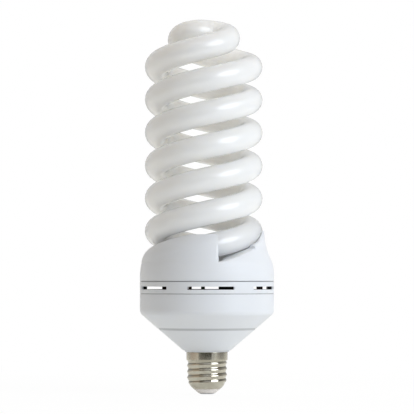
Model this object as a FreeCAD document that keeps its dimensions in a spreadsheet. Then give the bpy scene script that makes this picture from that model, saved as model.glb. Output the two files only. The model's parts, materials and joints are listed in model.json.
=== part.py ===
import FreeCAD, Part
import math
import os

import Sketcher

V = FreeCAD.Vector

# Driving dimensions in millimetres and degrees, with what each one measures
SIZES = {
    "contact_radius": (5.2, "centre contact, radius of the solder button"),
    "contact_height": (0.6, "centre contact, height below the insulator"),
    "rivet_radius": (1.4, "centre contact, stem through the insulator"),
    "cap_gap": (0.1, "gap between the insulator and the metal parts of the cap"),
    "insulator_low_radius": (5.7, "cap insulator, radius at the contact"),
    "insulator_height": (2.7, "cap insulator, visible height"),
    "insulator_plug": (3.0, "cap insulator, depth inside the shell"),
    "shell_mouth_radius": (8.9, "screw shell, radius of its lower edge"),
    "shell_shoulder": (7.7, "screw shell, height over which it draws in to its lower edge"),
    "thread_pitch": (4.0, "screw shell, distance between the ridges of the knuckle thread"),
    "thread_crest_radius": (13.25, "screw shell, radius at the crests"),
    "thread_root_radius": (12.5, "screw shell, radius at the roots"),
    "thread_length": (16.0, "screw shell, length of the threaded part"),
    "thread_rise": (2.5, "screw shell, height of the thread's start over the lower edge"),
    "collar_radius": (13.7, "screw shell, radius of the plain collar"),
    "collar_flare": (0.9, "screw shell, height over which it widens to the collar"),
    "shell_wall": (0.3, "screw shell, sheet thickness"),
    "neck_height": (28.0, "height of the housing's lower edge over the contact"),
    "neck_radius": (14.7, "housing, radius at the lower edge"),
    "neck_rim": (1.0, "housing, height of the lower rim"),
    "spigot_radius": (11.45, "housing, radius of the spigot inside the shell"),
    "spigot_length": (9.0, "housing, length of the spigot"),
    "spigot_bore": (9.4, "housing, inner radius of the spigot"),
    "cone_start_radius": (15.9, "housing, radius where the cone starts"),
    "cone_line_radius": (32.5, "housing, radius of the moulded line on the cone"),
    "cone_line_half": (0.5, "housing, half the width of the line on the cone"),
    "cone_line_depth": (0.6, "housing, depth of the line on the cone, measured upright"),
    "cone_rise": (24.7, "housing, height of the cone up to where it would meet the wall"),
    "corner_round": (5.5, "housing, rounding between cone and wall"),
    "body_radius": (44.67, "housing and tube holder, largest radius"),
    "housing_wall": (2.0, "housing and tube holder, wall thickness"),
    "wall_rise": (21.2, "housing, height of the wall from the cone to the seam"),
    "seam_bevel": (0.45, "bevel at the seam"),
    "line_drop": (8.2, "moulded line, distance below the seam"),
    "line_depth": (0.35, "depth of the moulded line"),
    "catch_drop": (7.3, "catch groove, distance of its middle below the seam"),
    "catch_depth": (0.6, "depth of the catch groove"),
    "catch_width": (1.4, "height of the catch groove"),
    "vent_drop": (5.4, "vent slots, distance of their lower edge below the seam"),
    "vent_height": (2.0, "height of the vent slots"),
    "vent_span": (40.5, "angle that a vent slot covers"),
    "vent_turn": (3.3, "angle of the front vent slot from the front"),
    "board_drop": (11.5, "circuit board, distance of its underside below the seam"),
    "board_thickness": (1.6, "circuit board, thickness"),
    "board_clearance": (0.5, "gap between circuit board and housing wall"),
    "ledge_width": (4.2, "housing, width of the board's ledge"),
    "ledge_height": (2.0, "housing, height of the board's ledge"),
    "fit_gap": (0.3, "gap between pieces that slide together"),
    "dome_rise": (12.6, "tube holder, height of the deck over the seam"),
    "brow_rise": (4.8, "tube holder, height over the seam where it starts to draw in"),
    "deck_draw": (1.17, "tube holder, how far the deck's rim lies in from the wall"),
    "skirt_drop": (2.7, "tube holder, depth of the skirt below the seam"),
    "catch_reach_down": (8.7, "tube holder, depth of the catches below the seam"),
    "catch_span": (12.0, "angle that a catch covers"),
    "coil_shift": (-2.2, "how far the coil stands off the housing's axis, in X"),
    "coil_inset": (13.67, "coil, how far the tube's centre line lies in from the wall"),
    "coil_lead": (43.9, "coil, rise of one strand in one turn"),
    "coil_rise": (20.6, "height of the front strand at the right side, over the deck"),
    "tube_radius": (8.25, "glass tube, outer radius"),
    "tube_end_angle": (105.0, "how far a strand runs on behind the front, inside its hood"),
    "top_start_turns": (2.5, "turns from the right side to where the coil draws in"),
    "top_span": (220.7, "angle over which a strand runs in to the axis"),
    "top_round": (9.5, "radius of the crossing bend on the axis"),
    "top_round_span": (57.0, "angle of the crossing bend"),
    "channel_gap": (0.35, "gap between glass tube and tube holder"),
    "hood_wall": (1.9, "tube holder, wall over the glass tube"),
    "hood_rise": (18.2, "height over the deck where the hoods are cut flat"),
    "hood_mouth_angle": (13.0, "angle of the hoods' mouths from the front"),
    "flank_start_rise": (1.0, "height of the tube over the deck where a hood's side starts to lean"),
    "flank_touch_angle": (20.0, "angle round the tube at which a hood's leaning side meets the tunnel"),
    "cradle_wall": (2.2, "tube holder, thickness of the raised wall"),
    "cradle_end_angle": (52.5, "angle where the low cradle ends"),
    "cheek_rise": (20.9, "tube holder, top of the raised cheek over the deck"),
    "cheek_draw": (5.5, "tube holder, how far the cheek's top lies in from the deck's rim"),
    "deck_thickness": (2.0, "tube holder, thickness of the deck"),
    "skirt_thickness": (2.1, "tube holder, thickness of the skirt"),
    "cradle_low_rise": (0.4, "top of the low cradle at the hood's mouth, over the deck"),
    "cradle_high_rise": (9.1, "top of the low cradle at its end, over the deck"),
    "cheek_low_rise": (11.7, "top of the cheek where it starts, over the deck"),
    "cheek_rise_angle": (79.0, "angle where the cheek reaches its full height"),
    "cheek_fall_angle": (104.0, "angle where the cheek starts to fall"),
    "cheek_end_angle": (128.0, "angle where the cheek ends"),
    "back_cheek_rise": (7.0, "top of the low wall behind the back cradle, over the deck"),
    "cement_start": (70.0, "cement, first angle behind the front"),
    "cement_end": (35.0, "cement, last angle behind the front"),
    "lead_wire_radius": (0.35, "lead wires, radius"),
    "post_side": (1.0, "wire posts, side of the square section"),
    "post_height": (5.0, "wire posts, height above the board"),
    "post_inset": (7.67, "wire posts, distance from the housing's inner wall"),
    "can_radius": (8.0, "electrolytic capacitor, radius"),
    "can_length": (25.0, "electrolytic capacitor, length"),
    "can_round": (0.9, "electrolytic capacitor, rounded edge"),
    "core_length": (19.0, "choke core, length"),
    "core_width": (16.0, "choke core, width"),
    "core_height": (14.0, "choke core, height"),
    "core_leg": (4.5, "choke core, thickness of the outer legs"),
    "choke_across": (-0.5, "choke, place across as a share of the board's radius"),
    "choke_along": (0.1, "choke, place along as a share of the board's radius"),
    "winding_radius": (4.7, "choke winding, outer radius"),
    "bobbin_flange": (0.8, "choke bobbin, flange thickness"),
    "leg_radius": (2.3, "choke core, radius of the middle leg"),
    "bobbin_wall": (0.7, "choke bobbin, wall of its tube"),
    "flange_radius": (4.8, "choke bobbin, radius of the flanges"),
    "choke_gap": (0.1, "gap between the choke's pieces"),
    "film_length": (12.0, "film capacitors, length"),
    "film_width": (3.9, "film capacitors, width"),
    "film_height": (9.0, "film capacitors, height"),
    "transistor_width": (10.0, "transistors, width"),
    "transistor_depth": (4.4, "transistors, thickness"),
    "transistor_height": (15.0, "transistors, height"),
    "tab_height": (2.8, "transistors, distance of the tab's hole from its end"),
    "ring_radius": (4.6, "drive transformer, mean radius of its ring"),
    "ring_section": (1.9, "drive transformer, radius of its section"),
    "filter_radius": (4.0, "line filter coil, radius"),
    "filter_length": (10.0, "line filter coil, length"),
    "diode_radius": (1.35, "rectifier diodes, radius"),
    "diode_length": (5.0, "rectifier diodes, length"),
    "resistor_radius": (1.2, "resistors, radius"),
    "resistor_length": (6.5, "resistors, length"),
    "thermistor_radius": (4.2, "thermistor disc, radius"),
    "thermistor_thickness": (2.6, "thermistor disc, thickness"),
    "mains_wire_radius": (0.8, "mains leads, radius over the insulation"),
    "brow_swell": (0.2, "tube holder, how far the brow stands out from a straight line"),
    "cheek_swell": (0.25, "tube holder, how far the cheek's foot stands out"),
    "cheek_hollow": (1.15, "tube holder, how far the cheek's middle is hollowed"),
    "cement_gap": (0.05, "gap between the cement and the pieces that it holds"),
    "tab_hole": (1.6, "transistors, radius of the hole"),
    "fuse_radius": (1.9, "fuse resistor, radius"),
    "fuse_length": (9.0, "fuse resistor, length"),
    "fuse_rise": (4.5, "fuse resistor, height over the rivet"),
    "fuse_shift": (1.5, "fuse resistor, distance from the axis"),
    "rivet_end": (0.5, "centre contact, end of the stem over the insulator"),
    "diode_step": (4.0, "rectifier diodes, distance between neighbours"),
}

# Heights and radii that follow from the sizes, each as an expression
LEVELS = {
    "insulator_top": "contact_height + insulator_height",
    "rivet_top": "insulator_top + insulator_plug + rivet_end",
    "cone_low": "neck_height + neck_rim",
    "cone_top_height": "cone_low + cone_rise",
    "seam_height": "cone_top_height + wall_rise",
    "line_height": "seam_height - line_drop",
    "catch_height": "seam_height - catch_drop",
    "vent_low": "seam_height - vent_drop",
    "board_low": "seam_height - board_drop",
    "board_top": "board_low + board_thickness",
    "skirt_low": "seam_height - skirt_drop",
    "catch_low": "seam_height - catch_reach_down",
    "brow_height": "seam_height + brow_rise",
    "deck_height": "seam_height + dome_rise",
    "coil_right_height": "deck_height + coil_rise",
    "hood_top": "deck_height + hood_rise",
    "cradle_low_height": "deck_height + cradle_low_rise",
    "cradle_high_height": "deck_height + cradle_high_rise",
    "cheek_low_height": "deck_height + cheek_low_rise",
    "cheek_height": "deck_height + cheek_rise",
    "back_cheek_height": "deck_height + back_cheek_rise",
    "room_radius": "body_radius - housing_wall",
    "board_radius": "room_radius - board_clearance",
    "ledge_radius": "room_radius - ledge_width",
    "post_radius": "room_radius - post_inset",
    "deck_radius": "body_radius - deck_draw",
    "cheek_radius": "deck_radius - cheek_draw",
    "coil_radius": "body_radius - coil_inset",
    "choke_x": "board_radius * choke_across",
    "choke_y": "board_radius * choke_along",
}

# Places on the board, across and along, as shares of its radius
PLACES = {
    "drive_ring": (0.344, 0.403),
    "transistor_a": (0.304, 0.26),
    "transistor_b": (0.304, -0.24),
    "film_capacitor_a": (0.83, 0.02),
    "film_capacitor_b": (-0.05, -0.47),
    "film_capacitor_c": (-0.658, -0.06),
    "filter_coil": (0.617, 0.071),
    "thermistor": (-0.064, 0.24),
    "rectifier_diodes": (0.617, 0.213),
    "resistor_1": (-0.269, 0.12),
    "resistor_2": (0.64, -0.237),
}

doc = FreeCAD.newDocument("EnergySavingBulb")
sheet = doc.addObject("Spreadsheet::Sheet", "Sizes")
for row, (alias, (value, meaning)) in enumerate(SIZES.items(), start=1):
    sheet.set("A%d" % row, meaning)
    sheet.set("B%d" % row, str(value))
    sheet.setAlias("B%d" % row, alias)
doc.recompute()

# How many points or sections the curved forms are drawn through
RING_POINTS = 12
COIL_STATIONS = (37, 14, 7)
HOOD_STEPS = 12
ARCH_STEPS = 8
SHOULDER_STEPS = 3
WAVE_STEPS = 8

pieces = []


def spelled(expression, owner=""):
    """An expression with its levels written out, and its sizes found in the sheet of that owner."""
    words = []
    for word in expression.split():
        if word in LEVELS:
            words.append("( " + spelled(LEVELS[word], owner) + " )")
        elif word in SIZES:
            words.append(owner + word)
        else:
            words.append(word)
    return " ".join(words)


def named(expression):
    """An expression as an object's property needs it, with its sizes in the sheet."""
    return spelled(expression, "Sizes.")


def size(alias):
    """The value of a size or a level."""
    return evaluate(alias)


def on_board(name):
    """Where a component stands on the board, as expressions for across and along."""
    across, along = PLACES[name]
    return "board_radius * %g" % across, "board_radius * %g" % along


def keep(item):
    """Mark an object as one piece of the bulb."""
    pieces.append(item)
    return item


def plane(body, role):
    """One of a body's own origin planes or axes."""
    return [item for item in body.Origin.OriginFeatures if item.Role == role][0]


def outline_sketch(body, name, corners, turn=None):
    """A closed outline in the body's XZ plane. Each corner is a pair of expressions for radius and height."""
    sketch = body.newObject("Sketcher::SketchObject", name)
    sketch.AttachmentSupport = [(plane(body, "XZ_Plane"), "")]
    sketch.MapMode = "FlatFace"
    if turn is not None:
        sketch.AttachmentOffset = FreeCAD.Placement(V(0, 0, 0), FreeCAD.Rotation(V(0, 1, 0), 1))
        sketch.setExpression("AttachmentOffset.Rotation.Angle", named(turn))
    places = [V(evaluate(across), evaluate(up), 0) for across, up in corners]
    count = len(places)
    for index in range(count):
        sketch.addGeometry(Part.LineSegment(places[index], places[(index + 1) % count]), False)
    for index in range(count):
        sketch.addConstraint(Sketcher.Constraint("Coincident", index, 2, (index + 1) % count, 1))
    for index, (across, up) in enumerate(corners):
        if across == "0":
            sketch.addConstraint(Sketcher.Constraint("PointOnObject", index, 1, -2))
        else:
            pin(sketch, "DistanceX", index, places[index].x, "across%d" % index, across)
        if up == "0":
            sketch.addConstraint(Sketcher.Constraint("PointOnObject", index, 1, -1))
        else:
            pin(sketch, "DistanceY", index, places[index].y, "up%d" % index, up)
    return sketch


def pin(sketch, kind, index, value, name, expression):
    """Hold one corner of an outline at a distance from the origin that an expression gives."""
    number = sketch.addConstraint(Sketcher.Constraint(kind, -1, 1, index, 1, value))
    sketch.renameConstraint(number, name)
    sketch.setExpression("Constraints." + name, named(expression))


def evaluate(expression):
    """The present value of an expression over sizes and levels."""
    return float(sheet.evalExpression(spelled(expression)))


def turned(label, corners):
    """A body made by turning an outline about the vertical axis."""
    body = doc.addObject("PartDesign::Body", label)
    sketch = outline_sketch(body, label + "_outline", corners)
    feature = body.newObject("PartDesign::Revolution", label + "_turned")
    feature.Profile = sketch
    feature.ReferenceAxis = (sketch, ["V_Axis"])
    feature.Angle = 360
    body.Tip = feature
    doc.recompute()
    return body


def through(points, stations, closed=False):
    """A smooth curve through points, one at each station, or a closed one with even steps."""
    curve = Part.BSplineCurve()
    if closed:
        steps = [float(step) for step in range(len(points) + 1)]
        curve.interpolate(Points=points, Parameters=steps, PeriodicFlag=True)
    else:
        curve.interpolate(Points=points, Parameters=stations)
    return curve


def skin(rings, stations):
    """A smooth face through rings of points, closed around each ring."""
    loops = [through(ring, None, closed=True) for ring in rings]
    count = len(loops[0].getPoles())
    rails = [through([loop.getPoles()[k] for loop in loops], stations) for k in range(count)]
    poles = [[rail.getPoles()[i] for rail in rails] for i in range(len(rails[0].getPoles()))]
    along, around = rails[0], loops[0]
    surface = Part.BSplineSurface()
    surface.buildFromPolesMultsKnots(poles, along.getMultiplicities(), around.getMultiplicities(),
                                     along.getKnots(), around.getKnots(), False, True, 3, 3)
    return surface.toShape()


def solid_of(faces):
    """A solid bounded by faces that meet edge to edge, with its normals outwards."""
    shell = Part.Shell(faces)
    shell.sewShape()
    solid = Part.Solid(shell)
    solid.fix(0.001, 0.001, 0.001)
    if solid.Volume < 0:
        solid.reverse()
    return solid


def capped(face):
    """A solid from a skin whose two open ends are flat."""
    ends = [Part.Face(Part.Wire([edge])) for edge in face.Edges if edge.isClosed()]
    return solid_of([face] + ends)


def band(lower, upper, stations):
    """A face ruled between two rails of points, one point at each station."""
    low, high = through(lower, stations), through(upper, stations)
    surface = Part.BSplineSurface()
    poles = [[a, b] for a, b in zip(low.getPoles(), high.getPoles())]
    surface.buildFromPolesMultsKnots(poles, low.getMultiplicities(), [2, 2],
                                     low.getKnots(), [0.0, 1.0], False, False, 3, 1)
    return surface.toShape()


def sheet_through(rails, stations):
    """A smooth face through three or more rails of points."""
    lines = [through(rail, stations) for rail in rails]
    steps = [float(step) for step in range(len(rails))]
    rows = [through([line.getPoles()[i] for line in lines], steps) for i in range(len(lines[0].getPoles()))]
    surface = Part.BSplineSurface()
    surface.buildFromPolesMultsKnots([row.getPoles() for row in rows], lines[0].getMultiplicities(),
                                     rows[0].getMultiplicities(), lines[0].getKnots(),
                                     rows[0].getKnots(), False, False, 3, 3)
    return surface.toShape()


def prism_along(sections, stations, curved=()):
    """A solid with flat ends, through closed sections. Each section is a list of sides, a side a list of points.

    A side of two points is ruled, and a side named in curved is smooth across.
    """
    faces = []
    for number in range(len(sections[0])):
        rails = [[section[number][k] for section in sections] for k in range(len(sections[0][number]))]
        if number in curved:
            faces.append(sheet_through(rails, stations))
        else:
            faces.append(band(rails[0], rails[1], stations))
    for section in (sections[0], sections[-1]):
        edges = []
        for number, side in enumerate(section):
            if number in curved:
                steps = [float(step) for step in range(len(side))]
                edges.append(through(side, steps).toShape())
            else:
                edges.append(Part.LineSegment(side[0], side[1]).toShape())
        faces.append(Part.Face(Part.Wire(edges)))
    return solid_of(faces)


class Coil:
    """The route of the glass tube's two strands. An angle is counted from the front, to the right."""

    def __init__(self):
        self.radius = size("coil_radius")
        self.lead = size("coil_lead")
        self.shift = size("coil_shift")
        self.right_height = size("coil_right_height")
        self.start = -size("tube_end_angle")
        self.draw_in = 90 + 360 * size("top_start_turns")
        self.axis = self.draw_in + size("top_span")
        self.span = math.radians(size("top_span"))
        self.cross_span = math.radians(size("top_round_span"))
        self.cross_round = 2 * size("top_round")

    def strand_height(self, angle):
        """Height of the centre line on the plain helix."""
        return self.right_height + self.lead * (angle - 90) / 360

    def place(self, angle):
        """Centre line of the front strand, up to the axis."""
        turn = math.radians(angle)
        left = math.radians(self.axis - angle)
        rise = self.lead / (2 * math.pi)
        if left >= self.span:
            reach, height = self.radius, self.strand_height(angle)
        else:
            reach = self.reach(left)
            cross_height = self.strand_height(self.draw_in) + rise * (self.span - self.cross_span)
            if left <= self.cross_span:
                height = cross_height + rise / (2 * self.cross_span) * (self.cross_span ** 2 - left ** 2)
            else:
                height = cross_height - rise * (left - self.cross_span)
        return V(self.shift + reach * math.sin(turn), -reach * math.cos(turn), height)

    def reach(self, left):
        """Distance from the coil's axis where an angle is left to it."""
        if left <= self.cross_span:
            return self.cross_round * math.sin(left)
        inner = self.cross_round * math.sin(self.cross_span)
        slope = self.cross_round * math.cos(self.cross_span)
        width = self.span - self.cross_span
        part = (left - self.cross_span) / width
        return (
            (2 * part ** 3 - 3 * part ** 2 + 1) * inner
            + (part ** 3 - 2 * part ** 2 + part) * slope * width
            + (3 * part ** 2 - 2 * part ** 3) * self.radius
        )

    def heading(self, angle):
        """Unit vector along the strand."""
        small = 0.01
        ahead = self.place(min(angle + small, self.axis))
        return (ahead - self.place(angle - small)).normalize()

    def ring(self, place, heading, radius, count=RING_POINTS):
        """Points on a circle about the centre line."""
        outward = V(heading.y, -heading.x, 0).normalize()
        upward = heading.cross(outward).normalize()
        turns = [2 * math.pi * step / count for step in range(count)]
        return [place + outward * (radius * math.cos(a)) + upward * (radius * math.sin(a)) for a in turns]

    def turned_over(self, point):
        """The same point on the other strand, half a turn round."""
        return V(2 * self.shift - point.x, -point.y, point.z)

    def strand(self, radius, first, last, step=30.0):
        """A round bar along the front strand between two angles of the plain helix."""
        count = max(4, math.ceil((last - first) / step))
        angles = [first + (last - first) * k / count for k in range(count + 1)]
        rings = [self.ring(self.place(a), self.heading(a), radius) for a in angles]
        return capped(skin(rings, angles))

    def whole(self, radius):
        """The whole tube, from one end over the top to the other end."""
        bend = self.axis - math.degrees(self.cross_span)
        plain = evenly(self.start, self.draw_in, COIL_STATIONS[0])
        drawn = evenly(self.draw_in, bend, COIL_STATIONS[1])
        crossing = evenly(bend, self.axis, COIL_STATIONS[2])
        frames = [(self.place(a), self.heading(a)) for a in plain + drawn + crossing]
        summit = self.place(self.axis)
        level = summit - self.place(self.axis - 1)
        middle = [(summit, V(level.x, level.y, 0).normalize())]
        back = [(self.turned_over(p), V(-t.x, -t.y, t.z) * -1) for p, t in reversed(frames)]
        frames = frames + middle + back
        stations = [0.0]
        for (before, _), (after, _) in zip(frames, frames[1:]):
            stations.append(stations[-1] + (after - before).Length)
        return capped(skin([self.ring(p, t, radius) for p, t in frames], stations))


def evenly(first, last, count):
    """Even steps from first towards last, without last."""
    return [first + (last - first) * k / count for k in range(count)]


coil = Coil()
half_turn = FreeCAD.Placement(V(2 * coil.shift, 0, 0), FreeCAD.Rotation(V(0, 0, 1), 180))


def opposite(shape):
    """The same shape for the other strand, half a turn round the coil's axis."""
    return shape.transformed(half_turn.toMatrix(), True)


def shaped(label, shape):
    """A piece whose curved form is worked out here from the sheet's values."""
    item = doc.addObject("Part::Feature", label)
    item.Shape = shape
    item.Placement = FreeCAD.Placement(V(0, 0, 0), FreeCAD.Rotation())
    return keep(item)


def turned_face(edges, span=360.0):
    """A solid turned about the vertical axis from edges that close in the XZ plane."""
    face = Part.Face(Part.Wire(edges))
    return face.revolve(V(0, 0, 0), V(0, 0, 1), span)


def lines(points):
    """Straight edges that join points given as radius and height, back to the first."""
    places = [V(radius, 0, height) for radius, height in points]
    return [Part.LineSegment(a, b).toShape() for a, b in zip(places, places[1:] + places[:1])]


def arc_block(inner, outer, low, high, centre, span):
    """A piece of a ring, its middle at an angle from the front."""
    start = centre - 90 - span / 2
    block = turned_face(lines([(inner, low), (outer, low), (outer, high), (inner, high)]), span)
    block.rotate(V(0, 0, 0), V(0, 0, 1), start)
    return block


# Glass tube: two strands that join over the top, each end inside a hood
tube_radius = size("tube_radius")
shaped("glass_tube", coil.whole(tube_radius))

# Cement that holds the two ends in their hoods
cement_gap = size("cement_gap")
cement_step, core_overrun = 15.0, 5.0
cement = coil.strand(tube_radius + size("channel_gap") - cement_gap, -size("cement_start"),
                     -size("cement_end"), cement_step)
core = coil.strand(tube_radius + cement_gap, -size("cement_start") - core_overrun,
                   -size("cement_end") + core_overrun, cement_step)
front_cement = cement.cut(core)
shaped("tube_cement_front", front_cement)
shaped("tube_cement_back", opposite(front_cement))


# Tube holder: domed upper shell with two hoods and raised walls beside the tube
seam = size("seam_height")
body_radius = size("body_radius")
deck_height = size("deck_height")
deck_low = deck_height - size("deck_thickness")
skirt_outer = size("room_radius") - size("fit_gap")
skirt_inner = skirt_outer - size("skirt_thickness")
hood_radius = tube_radius + size("channel_gap") + size("hood_wall")


def holder_profile():
    """The holder's outer line from the brow up to the top of the cheek, as an edge."""
    middle = (size("cheek_radius") + size("deck_radius")) / 2
    rise = size("cheek_height") - deck_height
    foot_share, hollow_share = 0.27, 0.49
    curve = Part.BSplineCurve()
    curve.interpolate([
        V(body_radius, 0, size("brow_height")),
        V((body_radius + size("deck_radius")) / 2 + size("brow_swell"), 0,
          (size("brow_height") + deck_height) / 2),
        V(size("deck_radius"), 0, deck_height),
        V(middle + size("cheek_swell"), 0, deck_height + foot_share * rise),
        V(middle - size("cheek_hollow"), 0, deck_height + hollow_share * rise),
        V(size("cheek_radius"), 0, size("cheek_height")),
    ])
    return curve.toShape()


def holder_hull():
    """Everything inside the holder's outer surface, up to the top of the cheek."""
    bevel = size("seam_bevel")
    top = V(0, 0, size("cheek_height"))
    edges = [
        Part.LineSegment(V(0, 0, seam), V(body_radius - bevel, 0, seam)).toShape(),
        Part.LineSegment(V(body_radius - bevel, 0, seam), V(body_radius, 0, seam + bevel)).toShape(),
        Part.LineSegment(V(body_radius, 0, seam + bevel), V(body_radius, 0, size("brow_height"))).toShape(),
        holder_profile(),
        Part.LineSegment(V(size("cheek_radius"), 0, size("cheek_height")), top).toShape(),
        Part.LineSegment(top, V(0, 0, seam)).toShape(),
    ]
    return turned_face(edges)


def under(heights, step=6.0):
    """The space below a sloping line. Each entry of heights is an angle from the front and a height."""
    angles = [angle for angle, _ in heights]
    line = Part.BSplineCurve()
    line.interpolate(Points=[V(angle, 0, height) for angle, height in heights], Parameters=angles)
    count = max(3, math.ceil((angles[-1] - angles[0]) / step))
    stations = [angles[0] + (angles[-1] - angles[0]) * k / count for k in range(count + 1)]
    inner, outer, floor = 0.6 * body_radius, 1.3 * body_radius, (deck_low + deck_height) / 2
    sections = []
    for angle in stations:
        top = line.value(angle).z
        turn = math.radians(angle)
        spots = [(inner, floor), (outer, floor), (outer, top), (inner, top)]
        ring = [V(radius * math.sin(turn), -radius * math.cos(turn), height) for radius, height in spots]
        sections.append([[a, b] for a, b in zip(ring, ring[1:] + ring[:1])])
    return prism_along(sections, stations)


def hood_section(angle):
    """A function for places in the hood's cross-section at an angle, and the tube's height there."""
    turn = math.radians(angle)

    def spot(across, up):
        reach = coil.radius + across
        return V(coil.shift + reach * math.sin(turn), -reach * math.cos(turn), up)

    return spot, coil.strand_height(angle)


def hood():
    """The tunnel over the front strand's end, with upright sides down into the dome."""
    first, last = coil.start, size("hood_mouth_angle")
    stations = evenly(first, last, HOOD_STEPS) + [last]
    floor = (size("brow_height") + deck_low) / 2
    tall = hood_radius * math.hypot(1, coil.lead / (2 * math.pi * coil.radius))
    sections = []
    for angle in stations:
        spot, height = hood_section(angle)
        arch = []
        for step in range(ARCH_STEPS + 1):
            swing = math.pi * step / ARCH_STEPS
            arch.append(spot(hood_radius * math.cos(swing), height + tall * math.sin(swing)))
        low_outer, low_inner = spot(hood_radius, floor), spot(-hood_radius, floor)
        sections.append([[low_inner, low_outer], [low_outer, arch[0]], arch, [arch[-1], low_inner]])
    tunnel = prism_along(sections, stations, curved=(2,)).fuse(flank(floor, tall))
    lid = Part.makeBox(4 * body_radius, 4 * body_radius, body_radius)
    lid.translate(V(-2 * body_radius, -2 * body_radius, size("hood_top")))
    return tunnel.cut(lid)


def flank(floor, tall):
    """The hood's outer side, which leans out from the tunnel to the deck's rim."""
    rim = size("deck_radius") - size("fit_gap") / 10
    start_height = deck_height + size("flank_start_rise")
    first = 90 + 360 * (start_height - coil.right_height) / coil.lead
    last, touch = size("hood_mouth_angle"), math.radians(size("flank_touch_angle"))
    stations = evenly(first, last, HOOD_STEPS) + [last]
    sections = []
    for angle in stations:
        spot, height = hood_section(angle)
        lean = coil.shift * math.sin(math.radians(angle))
        rim_reach = -lean + math.sqrt(lean ** 2 - coil.shift ** 2 + rim ** 2) - coil.radius
        top = height + tall * math.sin(touch)
        corners = [spot(0, floor), spot(rim_reach, floor), spot(rim_reach, deck_height),
                   spot(hood_radius * math.cos(touch), top), spot(0, top)]
        sections.append([[a, b] for a, b in zip(corners, corners[1:] + corners[:1])])
    return prism_along(sections, stations)


def raised_walls(hull):
    """The cradles and the cheek: the outer wall, carried up as far as the strands need it."""
    wall = size("cradle_wall")
    ring = hull.cut(Part.makeCylinder(size("cheek_radius") - 2 * wall, 2 * body_radius))
    mouth, end = size("hood_mouth_angle"), size("cradle_end_angle")
    low, high = size("cradle_low_height"), size("cradle_high_height")
    run_in, run_in_drop = 6.0, 1.0
    half = (mouth + end) / 2
    front = [(mouth - run_in, low - run_in_drop), (mouth, low), (half, (low + high) / 2), (end, high)]
    start, top = size("cheek_low_height"), size("cheek_height") + size("fit_gap")
    rise_angle, fall_angle = size("cheek_rise_angle"), size("cheek_fall_angle")
    foot = deck_height + size("deck_thickness") / 2
    late, end_angle = 2.0, size("cheek_end_angle")
    cheek = [(end, start), ((end + rise_angle) / 2 + late, (start + top) / 2 - size("fit_gap") * 2),
             (rise_angle, top), (fall_angle, top), (end_angle, foot)]
    behind = [(angle + 180, height) for angle, height in front]
    slope = size("back_cheek_height")
    back_span = end_angle - end
    left = [(end + 180, slope), (end + 180 + back_span * 0.25, slope),
            (end + 180 + back_span * 0.5, slope - run_in_drop), (end + 180 + back_span * 0.7, foot)]
    return [ring.common(under(heights)) for heights in (front, cheek, behind, left)]


def holder_room():
    """The room inside the holder, below its deck."""
    wall = size("housing_wall") + 2 * size("fit_gap")
    brow = size("brow_height")
    step = seam + size("skirt_thickness")
    return turned_face(lines([
        (0, size("catch_low") - 1), (skirt_inner, size("catch_low") - 1), (skirt_inner, step),
        (body_radius - wall, step), (body_radius - wall, brow),
        (size("deck_radius") - wall, deck_low), (0, deck_low),
    ]))


def skirt_parts():
    """The skirt inside the housing and the catches between the vents."""
    root = seam + size("skirt_thickness")
    parts = [turned_face(lines([(skirt_inner, size("skirt_low")), (skirt_outer, size("skirt_low")),
                                (skirt_outer, root), (skirt_inner, root)]))]
    turn = size("vent_turn")
    catch_reach = skirt_outer + size("catch_depth")
    catch, gap = size("catch_height"), size("fit_gap")
    half = size("catch_width") / 2 - gap
    for number in range(6):
        angle = turn + 30 + 60 * number
        parts.append(arc_block(skirt_inner, skirt_outer, size("catch_low"), root, angle, size("catch_span")))
        parts.append(arc_block(skirt_outer - gap, catch_reach, catch - half, catch + half, angle,
                               size("catch_span")))
    return parts


def tube_holder():
    """The whole upper shell."""
    hull = holder_hull()
    above = Part.makeCylinder(2 * body_radius, body_radius, V(0, 0, deck_height))
    dome = hull.cut(above)
    front_hood = hood()
    shell = dome.multiFuse([front_hood, opposite(front_hood)] + raised_walls(hull))
    shell = shell.cut(holder_room())
    run_on, channel_end, channel_step = 12.0, 150.0, 20.0
    channel = coil.strand(tube_radius + size("channel_gap"), coil.start - run_on, channel_end, channel_step)
    shell = shell.cut(channel).cut(opposite(channel))
    shell = shell.multiFuse(skirt_parts())
    return shell.removeSplitter()


shaped("tube_holder", tube_holder())


# Lower housing: cone with a spigot for the cap, and a wall with six vent slots
cone_slope = "cone_rise / ( body_radius - cone_start_radius )"
inner_lift = "housing_wall * 1.3"


def on_cone(radius, lift=""):
    """A corner of the outline on the cone's slope, at a radius, and raised by a lift."""
    height = "cone_low + ( " + radius + " - cone_start_radius ) * " + cone_slope
    return radius, height + lift


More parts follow.
